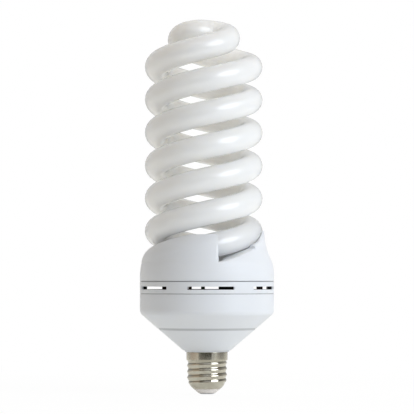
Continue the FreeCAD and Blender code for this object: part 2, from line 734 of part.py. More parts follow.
housing = turned("lower_housing", [
    ("neck_radius", "neck_height"),
    ("neck_radius", "cone_low"),
    ("cone_start_radius", "cone_low"),
    on_cone("cone_line_radius - cone_line_half"),
    on_cone("cone_line_radius", " + cone_line_depth"),
    on_cone("cone_line_radius + cone_line_half"),
    ("body_radius", "cone_top_height"),
    ("body_radius", "line_height - line_depth"),
    ("body_radius - line_depth", "line_height"),
    ("body_radius", "line_height + line_depth"),
    ("body_radius", "seam_height - seam_bevel"),
    ("body_radius - seam_bevel", "seam_height"),
    ("room_radius", "seam_height"),
    ("room_radius", "catch_height + catch_width / 2 + catch_depth / 2"),
    ("room_radius + catch_depth", "catch_height + catch_width / 2"),
    ("room_radius + catch_depth", "catch_height - catch_width / 2"),
    ("room_radius", "catch_height - catch_width / 2 - catch_depth / 2"),
    ("room_radius", "board_low"),
    ("ledge_radius", "board_low"),
    ("ledge_radius", "board_low - ledge_height"),
    ("room_radius", "board_low - ledge_height - housing_wall"),
    on_cone("room_radius", " + " + inner_lift),
    on_cone("cone_start_radius - neck_rim", " + " + inner_lift),
    ("spigot_bore", on_cone("cone_start_radius - neck_rim", " + " + inner_lift)[1]),
    ("spigot_bore", "neck_height - spigot_length"),
    ("spigot_radius", "neck_height - spigot_length"),
    ("spigot_radius", "neck_height"),
])


def edge_at(shape, radius, height):
    """Names of the round edges of a turned shape that lie at a radius and a height."""
    names = []
    for number, edge in enumerate(shape.Edges, start=1):
        spots = [vertex.Point for vertex in edge.Vertexes]
        if all(abs(math.hypot(p.x, p.y) - radius) < 0.01 and abs(p.z - height) < 0.01 for p in spots):
            names.append("Edge%d" % number)
    return names


plain_housing = housing.Tip
corner = housing.newObject("PartDesign::Fillet", "lower_housing_corner")
corner.Base = (plain_housing, edge_at(plain_housing.Shape, size("body_radius"), size("cone_top_height")))
corner.setExpression("Radius", "Sizes.corner_round")
housing.Tip = corner
doc.recompute()

vent_sketch = outline_sketch(housing, "lower_housing_vent", [
    ("body_radius - housing_wall * 1.5", "vent_low"),
    ("body_radius + housing_wall", "vent_low"),
    ("body_radius + housing_wall", "vent_low + vent_height"),
    ("body_radius - housing_wall * 1.5", "vent_low + vent_height"),
], turn="vent_turn + 30")
vent = housing.newObject("PartDesign::Groove", "lower_housing_slot")
vent.Profile = vent_sketch
vent.ReferenceAxis = (vent_sketch, ["V_Axis"])
vent.Midplane = True
vent.setExpression("Angle", "Sizes.vent_span")
housing.Tip = vent
doc.recompute()
vents = housing.newObject("PartDesign::PolarPattern", "lower_housing_slots")
vents.Originals = [vent]
vents.Axis = (plane(housing, "Z_Axis"), [""])
vents.Angle = 360
vents.Occurrences = 6
housing.Tip = vents
doc.recompute()
keep(housing)


# Screw cap: rolled shell with knuckle ridges, insulator and centre contact
def shell_reach(height):
    """Radius of the shell's outside, half way between crest and root, drawn in below its shoulder."""
    middle = (size("thread_crest_radius") + size("thread_root_radius")) / 2
    draw, shoulder = middle - size("shell_mouth_radius"), size("shell_shoulder")
    below = size("insulator_top") + shoulder - height
    if below <= 0:
        return middle
    bow = (draw ** 2 + shoulder ** 2) / (2 * draw)
    return middle - bow + math.sqrt(bow ** 2 - below ** 2)


def shell_line(inset):
    """One side of the shell's sheet: its thread as one edge and its collar as the other."""
    low = size("insulator_top")
    depth = (size("thread_crest_radius") - size("thread_root_radius")) / 2
    start = low + size("thread_rise")
    waves = math.floor(size("thread_length") / size("thread_pitch"))
    pitch = size("thread_length") / waves
    spots = []
    for step in range(SHOULDER_STEPS):
        height = low + (start - low) * step / SHOULDER_STEPS
        spots.append((shell_reach(height), height))
    for step in range(WAVE_STEPS * waves + 1):
        height = start + pitch * step / WAVE_STEPS
        share = min(1.0, 2 * step / WAVE_STEPS)
        wave = math.cos(2 * math.pi * step / WAVE_STEPS)
        spots.append((shell_reach(height) - depth * share * wave, height))
    collar, collar_low = size("collar_radius"), spots[-1][1] + size("collar_flare")
    spots.append((collar, collar_low))
    curve = Part.BSplineCurve()
    curve.interpolate([V(radius - inset, 0, height) for radius, height in spots])
    plain = Part.LineSegment(V(collar - inset, 0, collar_low), V(collar - inset, 0, size("neck_height")))
    return [curve.toShape(), plain.toShape()]


def screw_shell():
    """The rolled sheet, turned about the axis."""
    outside, inside = shell_line(0.0), shell_line(size("shell_wall"))
    mouth = Part.LineSegment(outside[0].Vertexes[0].Point, inside[0].Vertexes[0].Point).toShape()
    top = Part.LineSegment(outside[1].Vertexes[1].Point, inside[1].Vertexes[1].Point).toShape()
    return turned_face(outside + [top, inside[1], inside[0], mouth])


shaped("screw_shell", screw_shell())

keep(turned("cap_insulator", [
    ("rivet_radius + cap_gap", "contact_height"),
    ("insulator_low_radius", "contact_height"),
    ("shell_mouth_radius", "insulator_top"),
    ("shell_mouth_radius - shell_wall - cap_gap", "insulator_top"),
    ("shell_mouth_radius - shell_wall - cap_gap", "insulator_top + insulator_plug"),
    ("rivet_radius + cap_gap", "insulator_top + insulator_plug"),
]))

keep(turned("centre_contact", [
    ("0", "0"),
    ("contact_radius * 0.8", "0"),
    ("contact_radius * 0.95", "contact_height * 0.4"),
    ("contact_radius", "contact_height"),
    ("rivet_radius", "contact_height"),
    ("rivet_radius", "rivet_top"),
    ("0", "rivet_top"),
]))


# Circuit board and what hangs from it, towards the cap
def bind(item, **expressions):
    """Tie properties of an object to the sheet."""
    for name, expression in expressions.items():
        item.setExpression(name.replace("__", "."), named(expression))
    return item


def cylinder(label, radius, height, across, along, low, axis=None):
    """A round bar. It stands on its place, or lies centred on it when an axis is given."""
    item = doc.addObject("Part::Cylinder", label)
    if axis == "X":
        item.Placement.Rotation = FreeCAD.Rotation(V(0, 1, 0), 90)
        across = across + " - ( " + height + " ) / 2"
    if axis == "Y":
        item.Placement.Rotation = FreeCAD.Rotation(V(1, 0, 0), -90)
        along = along + " - ( " + height + " ) / 2"
    return bind(item, Radius=radius, Height=height, Placement__Base__x=across,
                Placement__Base__y=along, Placement__Base__z=low)


def block(label, length, width, height, across, along, low):
    """A box whose place is the middle of its lower face."""
    item = doc.addObject("Part::Box", label)
    return bind(item, Length=length, Width=width, Height=height,
                Placement__Base__x=across + " - ( " + length + " ) / 2",
                Placement__Base__y=along + " - ( " + width + " ) / 2",
                Placement__Base__z=low)


def joined(label, kind, base, tool):
    """A cut or fuse of two objects."""
    item = doc.addObject("Part::" + kind, label)
    item.Base = base
    item.Tool = tool
    return item


keep(cylinder("circuit_board", "board_radius", "board_thickness", "0", "0", "board_low"))

keep(turned("main_capacitor", [
    ("0", "board_low - can_length"),
    ("can_radius - can_round", "board_low - can_length"),
    ("can_radius", "board_low - can_length + can_round"),
    ("can_radius", "board_low - can_round * 4"),
    ("can_radius - can_round * 0.6", "board_low - can_round * 3"),
    ("can_radius", "board_low - can_round * 2"),
    ("can_radius", "board_low"),
    ("0", "board_low"),
]))

# Choke: core with a round middle leg, bobbin on the leg, winding on the bobbin
outer_block = block("choke_block", "core_length", "core_width", "core_height",
                    "choke_x", "choke_y", "board_low - core_height")
window = block("choke_window", "core_length - core_leg * 2", "core_width * 2", "core_height - core_leg * 2",
               "choke_x", "choke_y", "board_low - core_height + core_leg")
frame_piece = joined("choke_frame", "Cut", outer_block, window)
leg = cylinder("choke_leg", "leg_radius", "core_height - core_leg",
               "choke_x", "choke_y", "board_low - core_height + core_leg / 2")
keep(joined("choke_core", "Fuse", frame_piece, leg))


def spool(label, inner, outer, low, height):
    """A tube on the choke's middle leg."""
    full = cylinder(label + "_outer", outer, height, "choke_x", "choke_y", low)
    bore = cylinder(label + "_bore", inner, "( " + height + " ) * 3", "choke_x", "choke_y",
                    low + " - ( " + height + " )")
    return joined(label, "Cut", full, bore)


window_low = "board_low - core_height + core_leg + choke_gap"
window_tall = "core_height - core_leg * 2 - choke_gap * 2"
bobbin_bore, bobbin_outer = "leg_radius + choke_gap", "leg_radius + choke_gap + bobbin_wall"
tube_part = spool("choke_tube", bobbin_bore, bobbin_outer, window_low, window_tall)
low_flange = spool("choke_low_flange", bobbin_bore, "flange_radius", window_low, "bobbin_flange")
high_flange = spool("choke_high_flange", bobbin_bore, "flange_radius",
                    "board_low - core_leg - choke_gap - bobbin_flange", "bobbin_flange")
bobbin = doc.addObject("Part::MultiFuse", "choke_bobbin")
bobbin.Shapes = [tube_part, low_flange, high_flange]
keep(bobbin)
keep(spool("choke_winding", bobbin_outer + " + choke_gap / 2", "winding_radius",
           window_low + " + bobbin_flange + choke_gap / 2", window_tall + " - bobbin_flange * 2 - choke_gap"))

# Drive transformer: a ring with three windings of a few turns
ring = doc.addObject("Part::Torus", "drive_ring")
ring_x, ring_y = on_board("drive_ring")
bind(ring, Radius1="ring_radius", Radius2="ring_section", Placement__Base__x=ring_x,
     Placement__Base__y=ring_y, Placement__Base__z="board_low - ring_section - lead_wire_radius * 2.3")
keep(ring)


def drive_windings():
    """Three groups of wire turns round the ring, each turn a separate loop."""
    wire = size("lead_wire_radius")
    loops = []
    spread, clearance = 14, 0.02
    for group in range(3):
        for turn in (-spread, 0, spread):
            angle = 120 * group + turn
            loop = Part.makeTorus(size("ring_section") + wire + clearance, wire)
            loop.rotate(V(0, 0, 0), V(1, 0, 0), 90)
            loop.translate(V(size("ring_radius"), 0, 0))
            loop.rotate(V(0, 0, 0), V(0, 0, 1), angle)
            loop.translate(ring.Placement.Base)
            loops.append(loop)
    return Part.makeCompound(loops)


doc.recompute()
shaped("drive_windings", drive_windings())

# The transistors, two film capacitors, the thermistor and one resistor stand on the board's upper side
for letter in ("a", "b"):
    across, along = on_board("transistor_" + letter)
    body_block = block("transistor_body_" + letter, "transistor_width", "transistor_depth",
                       "transistor_height", across, along, "board_top")
    hole = cylinder("transistor_hole_" + letter, "tab_hole", "transistor_depth * 2", across, along,
                    "board_top + transistor_height - tab_height", "Y")
    keep(joined("transistor_" + letter, "Cut", body_block, hole))

for letter, low in (("a", "board_top"), ("b", "board_low - film_height"), ("c", "board_top")):
    across, along = on_board("film_capacitor_" + letter)
    keep(block("film_capacitor_" + letter, "film_width", "film_length", "film_height", across, along, low))

across, along = on_board("filter_coil")
keep(cylinder("filter_coil", "filter_radius", "filter_length", across, along, "board_low - filter_length"))
across, along = on_board("thermistor")
keep(cylinder("thermistor", "thermistor_radius", "thermistor_thickness", across, along,
              "board_top + thermistor_radius", "X"))
across, along = on_board("rectifier_diodes")
for number in range(4):
    keep(cylinder("rectifier_diode_%d" % (number + 1), "diode_radius", "diode_length", across,
                  along + " + diode_step * %d" % number, "board_low - diode_radius", "X"))
across, along = on_board("resistor_1")
keep(cylinder("resistor_1", "resistor_radius", "resistor_length", across, along, "board_top"))
across, along = on_board("resistor_2")
keep(cylinder("resistor_2", "resistor_radius", "resistor_length", across, along,
              "board_low - resistor_radius", "X"))


# Posts on the board, the tube's lead wires and the leads to the cap
def bent_wire(points, radius, bend):
    """A wire through points, straight between them, with a round bend at each inner point."""
    edges = []
    here = points[0]
    for before, corner_point, after in zip(points, points[1:], points[2:]):
        back = (before - corner_point).normalize()
        ahead = (after - corner_point).normalize()
        half = math.acos(max(-1.0, min(1.0, back.dot(ahead)))) / 2
        trim = min(bend / math.tan(half), 0.45 * (before - corner_point).Length,
                   0.45 * (after - corner_point).Length)
        enter, leave = corner_point + back * trim, corner_point + ahead * trim
        inner = (back + ahead).normalize()
        reach = trim / math.cos(half)
        centre = corner_point + inner * reach
        middle = centre - inner * (reach * math.sin(half))
        edges.append(Part.LineSegment(here, enter).toShape())
        edges.append(Part.Arc(enter, middle, leave).toShape())
        here = leave
    edges.append(Part.LineSegment(here, points[-1]).toShape())
    path = Part.Wire(edges)
    start = (points[1] - points[0]).normalize()
    profile = Part.Wire([Part.makeCircle(radius, points[0], start)])
    return path.makePipeShell([profile], True, False)


board_top = size("board_top")
end_place = coil.place(coil.start)
end_heading = coil.heading(coil.start) * -1
sideways = V(0, 0, 1).cross(end_heading).normalize()
wire_radius = size("lead_wire_radius")
post_side, post_height = size("post_side"), size("post_height")
# Two posts for the front strand, by angle from the front; the other two lie half a turn round
post_angles = (-128.0, -139.0)
pin_spread, straight_end, wire_bend = 2.5, 7.0, 3.0
for pair, angle in enumerate(post_angles):
    turn = math.radians(angle)
    foot = V(size("post_radius") * math.sin(turn), -size("post_radius") * math.cos(turn), board_top)
    post = Part.makeBox(post_side, post_side, post_height, foot - V(post_side / 2, post_side / 2, 0))
    top = foot + V(0, 0, post_height + wire_radius)
    leave = end_place + sideways * (pin_spread if pair == 0 else -pin_spread)
    run = [leave, leave + end_heading * straight_end, top + V(0, 0, post_height), top - V(0, 0, wire_radius)]
    wire = bent_wire(run, wire_radius, wire_bend)
    for half, shape_of in enumerate((lambda item: item, opposite), start=1):
        shaped("wire_post_%d" % (2 * pair + half), shape_of(post))
        shaped("tube_lead_%d" % (2 * pair + half), shape_of(wire))

mains_radius = size("mains_wire_radius")
rivet_top = size("rivet_top")
spigot_low = size("neck_height") - size("spigot_length")
fuse_low = rivet_top + size("fuse_rise")
fuse_high = fuse_low + size("fuse_length")
fuse_x, board_low = size("fuse_shift"), size("board_low")
lead_bend = size("fuse_rise") / 4
shaped("fuse_lead", bent_wire([V(0, 0, rivet_top), V(0, 0, rivet_top + lead_bend),
                               V(fuse_x, 0, fuse_low - lead_bend), V(fuse_x, 0, fuse_low)],
                              wire_radius, lead_bend))
shaped("fuse_resistor", Part.makeCylinder(size("fuse_radius"), fuse_high - fuse_low, V(fuse_x, 0, fuse_low)))
live_x, live_y = size("board_radius") * 0.26, size("board_radius") * 0.07
live_gap = board_low - fuse_high
shaped("live_wire", bent_wire([V(fuse_x, 0, fuse_high), V(fuse_x, 0, fuse_high + live_gap / 6),
                               V(live_x, live_y, fuse_high + live_gap / 2), V(live_x, live_y, board_low)],
                              mains_radius, 5 * mains_radius))
solder_x = -(size("thread_root_radius") - size("shell_wall") - size("fit_gap") / 10)
rise_x = -(size("spigot_bore") - 2.5 * mains_radius)
solder_z = spigot_low - 1.5 * mains_radius
neutral_x, neutral_y = -live_x, -2 * live_y
shaped("neutral_wire", bent_wire([
    V(solder_x, 0, solder_z), V(rise_x, 0, solder_z), V(rise_x, 0, spigot_low + 1.3 * size("spigot_length")),
    V(neutral_x, neutral_y, (spigot_low + board_low) / 2), V(neutral_x, neutral_y, board_low),
], mains_radius, 2.5 * mains_radius))

doc.recompute()
for item in doc.Objects:
    if "Invalid" in item.State or "Error" in item.State:
        raise RuntimeError("%s could not be built" % item.Label)
for item in pieces:
    if item.Shape.isNull() or not item.Shape.isValid():
        raise RuntimeError("%s has no sound shape" % item.Label)

os.makedirs("parts", exist_ok=True)
for item in pieces:
    item.Shape.exportStep(os.path.join("parts", item.Label + ".step"))
print("%d pieces" % len(pieces))
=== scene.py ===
"""Dresses the spiral energy saving bulb and sets it in a plain white studio."""

import json
import logging
import math
from dataclasses import dataclass, field
from enum import Enum

import bpy
from mathutils import Matrix, Vector


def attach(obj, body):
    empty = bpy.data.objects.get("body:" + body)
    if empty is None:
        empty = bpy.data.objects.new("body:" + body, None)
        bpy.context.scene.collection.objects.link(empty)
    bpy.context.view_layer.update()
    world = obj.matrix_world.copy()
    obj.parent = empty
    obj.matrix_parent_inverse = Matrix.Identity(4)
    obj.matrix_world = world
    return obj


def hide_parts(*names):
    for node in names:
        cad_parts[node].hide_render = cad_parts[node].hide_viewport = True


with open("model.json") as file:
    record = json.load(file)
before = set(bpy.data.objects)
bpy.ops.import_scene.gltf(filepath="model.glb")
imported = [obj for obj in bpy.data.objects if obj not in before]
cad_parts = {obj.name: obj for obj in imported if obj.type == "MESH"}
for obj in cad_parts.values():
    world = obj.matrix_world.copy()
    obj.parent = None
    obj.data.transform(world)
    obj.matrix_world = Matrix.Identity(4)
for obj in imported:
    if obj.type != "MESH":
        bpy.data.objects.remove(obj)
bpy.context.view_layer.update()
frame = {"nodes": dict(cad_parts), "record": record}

log = logging.getLogger("bulb")
MM = 0.001
BODY = "root"
MIX_COLOUR_INPUTS = (6, 7)
MIX_COLOUR_OUTPUT = 2


class Effect(Enum):
    """The shader node groups that the finishes share."""

    MOTTLE = "mottle"
    MOULDED = "moulded_surface"
    THREAD_SHADE = "thread_shade"
    SHELL_INSIDE = "shell_inside"
    LINE_SHADE = "line_shade"


def clear_selection() -> None:
    """Deselects every object and leaves edit mode."""
    if bpy.context.object and bpy.context.object.mode != "OBJECT":
        bpy.ops.object.mode_set(mode="OBJECT")
    bpy.ops.object.select_all(action="DESELECT")


def make_active(item: bpy.types.Object) -> None:
    """Selects one object alone and makes it active.

    Args:
        item: the object to work on.
    """
    clear_selection()
    item.select_set(True)
    bpy.context.view_layer.objects.active = item


def finish_piece(item: bpy.types.Object, name: str, slot: str, *nodes: str) -> bpy.types.Object:
    """Names a finished piece, puts its place in its mesh, hangs it under the root body and hides the nodes that it
    stands for.

    Args:
        item: the modelled object.
        name: the piece's name.
        slot: the record's material slot, not used.
        nodes: the frame's nodes that it stands for.

    Returns:
        The same object.
    """
    make_active(item)
    bpy.ops.object.transform_apply(location=True, rotation=True, scale=True)
    item.name = name
    item.data.name = name
    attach(item, BODY)
    if nodes:
        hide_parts(*nodes)
    log.info("%s: %d faces", name, len(item.data.polygons))
    return item


def tidy_mesh(item: bpy.types.Object, merge: float = 1e-6, smooth: float = 35.0) -> None:
    """Merges doubled vertices, turns the normals outwards and shades smooth up to an angle.

    Args:
        item: the mesh object.
        merge: distance for merging, in metres.
        smooth: largest angle that still shades smooth, in degrees.
    """
    make_active(item)
    bpy.ops.object.mode_set(mode="EDIT")
    bpy.ops.mesh.select_all(action="SELECT")
    bpy.ops.mesh.remove_doubles(threshold=merge)
    bpy.ops.mesh.normals_make_consistent(inside=False)
    bpy.ops.object.mode_set(mode="OBJECT")
    bpy.ops.object.shade_smooth_by_angle(angle=math.radians(smooth))


def turned_shape(profile: list[tuple[float, float]], steps: int) -> bpy.types.Object:
    """A lathe shape: a closed profile drawn vertex by vertex and spun about the vertical axis.

    Args:
        profile: radius and height of each profile point, in metres.
        steps: how many steps make the full turn.

    Returns:
        The new object, its profile spun once round.
    """
    clear_selection()
    bpy.ops.mesh.primitive_plane_add(size=0.001, location=(profile[0][0], 0.0, profile[0][1]))
    item = bpy.context.object
    bpy.ops.object.transform_apply(location=True, rotation=True, scale=True)
    bpy.ops.object.mode_set(mode="EDIT")
    bpy.ops.mesh.select_all(action="SELECT")
    bpy.ops.mesh.merge(type="CENTER")
    bpy.ops.mesh.select_all(action="SELECT")
    for before, after in zip(profile, profile[1:]):
        shift = (after[0] - before[0], 0.0, after[1] - before[1])
        bpy.ops.mesh.extrude_region_move(TRANSFORM_OT_translate={"value": shift})
    bpy.ops.object.mode_set(mode="OBJECT")
    ends = (0, len(item.data.vertices) - 1)
    for vertex in item.data.vertices:
        vertex.select = vertex.index in ends
    for edge in item.data.edges:
        edge.select = False
    bpy.ops.object.mode_set(mode="EDIT")
    bpy.ops.mesh.edge_face_add()
    bpy.ops.mesh.select_all(action="SELECT")
    bpy.ops.mesh.spin(steps=steps, angle=2 * math.pi, center=(0, 0, 0), axis=(0, 0, 1))
    bpy.ops.mesh.select_all(action="SELECT")
    bpy.ops.mesh.remove_doubles(threshold=1e-6)
    bpy.ops.mesh.normals_make_consistent(inside=False)
    bpy.ops.object.mode_set(mode="OBJECT")
    return item


def eased(share: float) -> float:
    """A share from 0 to 1 that starts and ends gently."""
    return share * share * (3 - 2 * share)


class NodeSheet:
    """Short ways to add and link nodes in one node tree."""

    def __init__(self, tree: bpy.types.NodeTree) -> None:
        """Keeps the tree that the nodes go into."""
        self.tree = tree

    def add(self, kind: str, **settings: object) -> bpy.types.Node:
        """Adds a node.

        Args:
            kind: the node's type name.
            settings: properties to set, or values for named inputs given as a dict called inputs.

        Returns:
            The new node.
        """
        node = self.tree.nodes.new(kind)
        values = settings.pop("inputs", {})
        for name, value in settings.items():
            setattr(node, name, value)
        for name, value in values.items():
            node.inputs[name].default_value = value
        return node

    def link(self, source: bpy.types.NodeSocket, target: bpy.types.NodeSocket) -> None:
        """Links an output to an input."""
        self.tree.links.new(source, target)

    def ramp(self, source: bpy.types.NodeSocket, low: float, high: float) -> bpy.types.NodeSocket:
        """Maps a value smoothly from a range to 0..1.

        Args:
            source: the value.
            low: the value that gives 0.
            high: the value that gives 1.

        Returns:
            The mapped value's socket.
        """
        node = self.add("ShaderNodeMapRange", interpolation_type="SMOOTHSTEP",
                        inputs={"From Min": low, "From Max": high})
        self.link(source, node.inputs["Value"])
        return node.outputs["Result"]

    def math(self, operation: str, *values: object) -> bpy.types.NodeSocket:
        """A sum on one to three values, each a socket or a plain number.

        Args:
            operation: the sum's name.
            values: what goes into it.

        Returns:
            The result's socket.
        """
        node = self.add("ShaderNodeMath", operation=operation)
        for value, socket in zip(values, node.inputs):
            if isinstance(value, bpy.types.NodeSocket):
                self.link(value, socket)
            else:
                socket.default_value = value
        return node.outputs[0]

    def all_of(self, *masks: bpy.types.NodeSocket) -> bpy.types.NodeSocket:
        """The product of several masks, which is 1 only where each of them is 1.

        Args:
            masks: the masks' sockets.

        Returns:
            The product's socket.
        """
        result = masks[0]
        for mask in masks[1:]:
            result = self.math("MULTIPLY", result, mask)
        return result

    def noise(self, scale: object, settings: dict[str, float]) -> bpy.types.NodeSocket:
        """Noise in the object's own space.

        Args:
            scale: its scale, a socket or a plain number.
            settings: values for its other inputs.

        Returns:
            The noise's socket.
        """
        place = self.add("ShaderNodeTexCoord")
        node = self.add("ShaderNodeTexNoise", inputs=settings)
        self.link(place.outputs["Object"], node.inputs["Vector"])
        if isinstance(scale, bpy.types.NodeSocket):
            self.link(scale, node.inputs["Scale"])
        else:
            node.inputs["Scale"].default_value = scale
        return node.outputs["Fac"]

    def own_place(self) -> tuple[bpy.types.NodeSocket, ...]:
        """The object's own X, Y and Z, and the distance from its upright axis.

        Returns:
            The four sockets.
        """
        place = self.add("ShaderNodeTexCoord")
        split = self.add("ShaderNodeSeparateXYZ")
        self.link(place.outputs["Object"], split.inputs["Vector"])
        level = self.add("ShaderNodeCombineXYZ")
        for axis in "XY":
            self.link(split.outputs[axis], level.inputs[axis])
        reach = self.add("ShaderNodeVectorMath", operation="LENGTH")
        self.link(level.outputs["Vector"], reach.inputs[0])
        return (*(split.outputs[axis] for axis in "XYZ"), reach.outputs["Value"])

    def blend(self, fac: bpy.types.NodeSocket, first: object, second: object) -> bpy.types.NodeSocket:
        """Mixes two colours, each a socket or a plain colour.

        Args:
            fac: the share of the second colour.
            first: the first colour.
            second: the second colour.

        Returns:
            The mixed colour's socket.
        """
        node = self.add("ShaderNodeMix", data_type="RGBA")
        self.link(fac, node.inputs["Factor"])
        for value, index in zip((first, second), MIX_COLOUR_INPUTS):
            if isinstance(value, bpy.types.NodeSocket):
                self.link(value, node.inputs[index])
            else:
                node.inputs[index].default_value = (*value, 1.0)
        return node.outputs[MIX_COLOUR_OUTPUT]


class EffectLibrary:
    """Builds each shared shader node group once."""

    def __init__(self) -> None:
        """Starts with no group built."""
        self.groups: dict[Effect, bpy.types.NodeTree] = {}

    def get(self, effect: Effect) -> bpy.types.NodeTree:
        """The node group of an effect, built at its first use.

        Args:
            effect: which effect it is.

        Returns:
            The group.
        """
        if effect not in self.groups:
            builder = {
                Effect.MOTTLE: self.build_mottle,
                Effect.MOULDED: self.build_moulded,
                Effect.THREAD_SHADE: self.build_thread_shade,
                Effect.SHELL_INSIDE: self.build_inside_painted_shade,
                Effect.LINE_SHADE: self.build_line_shade,
            }[effect]
            self.groups[effect] = builder()
        return self.groups[effect]

    @staticmethod
    def new_group(effect: Effect, inputs: list[tuple[str, str, object]],
                  outputs: list[tuple[str, str]]) -> tuple[bpy.types.NodeTree, NodeSheet]:
        """An empty group with its sockets.

        Args:
            effect: which effect it is.
            inputs: name, socket type and default value of each input.
            outputs: name and socket type of each output.

        Returns:
            The group and a sheet for its nodes.
        """
        tree = bpy.data.node_groups.new(effect.value, "ShaderNodeTree")
        for name, kind, value in inputs:
            socket = tree.interface.new_socket(name=name, in_out="INPUT", socket_type=kind)
            socket.default_value = value
        for name, kind in outputs:
            tree.interface.new_socket(name=name, in_out="OUTPUT", socket_type=kind)
        return tree, NodeSheet(tree)

    def build_mottle(self) -> bpy.types.NodeTree:
        """Soft patches of a second colour, as in a powder layer or a cast surface.

        Returns:
            The group.
        """
        tree, sheet = self.new_group(
            Effect.MOTTLE,
            [("Color", "NodeSocketColor", (0.8, 0.8, 0.8, 1.0)), ("Second", "NodeSocketColor", (0.7, 0.7, 0.7, 1.0)),
             ("Scale", "NodeSocketFloat", 40.0), ("Amount", "NodeSocketFloat", 0.3)],
            [("Color", "NodeSocketColor"), ("Mask", "NodeSocketFloat")])
        enter, leave = sheet.add("NodeGroupInput"), sheet.add("NodeGroupOutput")
        noise = sheet.noise(enter.outputs["Scale"], {"Detail": 4.0, "Roughness": 0.55})
        mask = sheet.ramp(noise, 0.35, 0.7)
        share = sheet.math("MULTIPLY", mask, enter.outputs["Amount"])
        colour = sheet.blend(share, enter.outputs["Color"], enter.outputs["Second"])
        sheet.link(colour, leave.inputs["Color"])
        sheet.link(mask, leave.inputs["Mask"])
        return tree

    def build_moulded(self) -> bpy.types.NodeTree:
        """The faint orange peel of a moulded surface, as a height, and its uneven gloss.

        Returns:
            The group.
        """
        tree, sheet = self.new_group(
            Effect.MOULDED,
            [("Scale", "NodeSocketFloat", 900.0), ("Roughness", "NodeSocketFloat", 0.3),
             ("Spread", "NodeSocketFloat", 0.06)],
            [("Height", "NodeSocketFloat"), ("Roughness", "NodeSocketFloat")])
        enter, leave = sheet.add("NodeGroupInput"), sheet.add("NodeGroupOutput")
        fine = sheet.noise(enter.outputs["Scale"], {"Detail": 2.0})
        shift = sheet.math("SUBTRACT", sheet.noise(45.0, {"Detail": 3.0}), 0.5)
        gloss = sheet.math("MULTIPLY_ADD", shift, enter.outputs["Spread"], enter.outputs["Roughness"])
        sheet.link(fine, leave.inputs["Height"])
        sheet.link(gloss, leave.inputs["Roughness"])
        return tree

    def build_thread_shade(self) -> bpy.types.NodeTree:
        """A mask that is 1 in a thin line that winds with the cap's thread, on the upper flank of each ring.

        Returns:
            The group.
        """
        tree, sheet = self.new_group(
            Effect.THREAD_SHADE,
            [("Pitch", "NodeSocketFloat", 0.004), ("Front", "NodeSocketFloat", 0.0),
             ("Low", "NodeSocketFloat", 0.0), ("High", "NodeSocketFloat", 0.02)],
            [("Mask", "NodeSocketFloat")])
        enter, leave = sheet.add("NodeGroupInput"), sheet.add("NodeGroupOutput")
        across, deep, height, _ = sheet.own_place()
        turn = sheet.math("ARCTAN2", deep, across)
        rise = sheet.math("SUBTRACT", height, enter.outputs["Front"])
        turns = sheet.math("MULTIPLY", sheet.math("DIVIDE", rise, enter.outputs["Pitch"]), 2 * math.pi)
        phase = sheet.math("SUBTRACT", sheet.math("SUBTRACT", turns, turn), math.pi / 2)
        line = sheet.ramp(sheet.math("COSINE", phase), 0.72, 0.97)
        above = sheet.math("GREATER_THAN", height, enter.outputs["Low"])
        below = sheet.math("LESS_THAN", height, enter.outputs["High"])
        sheet.link(sheet.all_of(line, above, below), leave.inputs["Mask"])
        return tree

    def build_inside_painted_shade(self) -> bpy.types.NodeTree:
        """A mask that is 1 on the inner faces of the two shells, between two heights and inside a radius, where a
        painted shade darkens them.

        Returns:
            The group.
        """
        tree, sheet = self.new_group(
            Effect.SHELL_INSIDE,
            [("Radius", "NodeSocketFloat", 0.0432), ("Low", "NodeSocketFloat", 0.0585),
             ("High", "NodeSocketFloat", 0.086)],
            [("Mask", "NodeSocketFloat")])
        enter, leave = sheet.add("NodeGroupInput"), sheet.add("NodeGroupOutput")
        _, _, height, reach = sheet.own_place()
        within = sheet.math("LESS_THAN", reach, enter.outputs["Radius"])
        above = sheet.math("GREATER_THAN", height, enter.outputs["Low"])
        below = sheet.math("LESS_THAN", height, enter.outputs["High"])
        sheet.link(sheet.all_of(within, above, below), leave.inputs["Mask"])
        return tree

    def build_line_shade(self) -> bpy.types.NodeTree:
        """A mask that is 1 in a thin ring at one height, or at one radius where Radial is 1.

        Returns:
            The group.
        """
        tree, sheet = self.new_group(
            Effect.LINE_SHADE,
            [("Radial", "NodeSocketFloat", 0.0), ("Centre", "NodeSocketFloat", 0.0),
             ("Half Width", "NodeSocketFloat", 0.0003)],
            [("Mask", "NodeSocketFloat")])
        enter, leave = sheet.add("NodeGroupInput"), sheet.add("NodeGroupOutput")
        _, _, height, reach = sheet.own_place()
        chosen = sheet.add("ShaderNodeMix", data_type="FLOAT")
        sheet.link(enter.outputs["Radial"], chosen.inputs["Factor"])
        sheet.link(height, chosen.inputs["A"])
        sheet.link(reach, chosen.inputs["B"])
        apart = sheet.math("ABSOLUTE", sheet.math("SUBTRACT", chosen.outputs["Result"], enter.outputs["Centre"]))
        share = sheet.math("DIVIDE", apart, enter.outputs["Half Width"])
        sheet.link(sheet.ramp(share, 1.0, 0.55), leave.inputs["Mask"])
        return tree


EFFECTS = EffectLibrary()


@dataclass(frozen=True)
class ShadeLine:
    """A thin ring of shade in a groove: its height or its radius, half its width and how dark it is."""

    centre: float
    half_width: float
    depth: float
    radial: bool = False


@dataclass(frozen=True)
class ThreadShade:
    """The shade on the cap's thread: its pitch, its height at the front, where it starts and ends, how dark it is."""

    pitch: float
    front: float
    low: float
    high: float
    depth: float


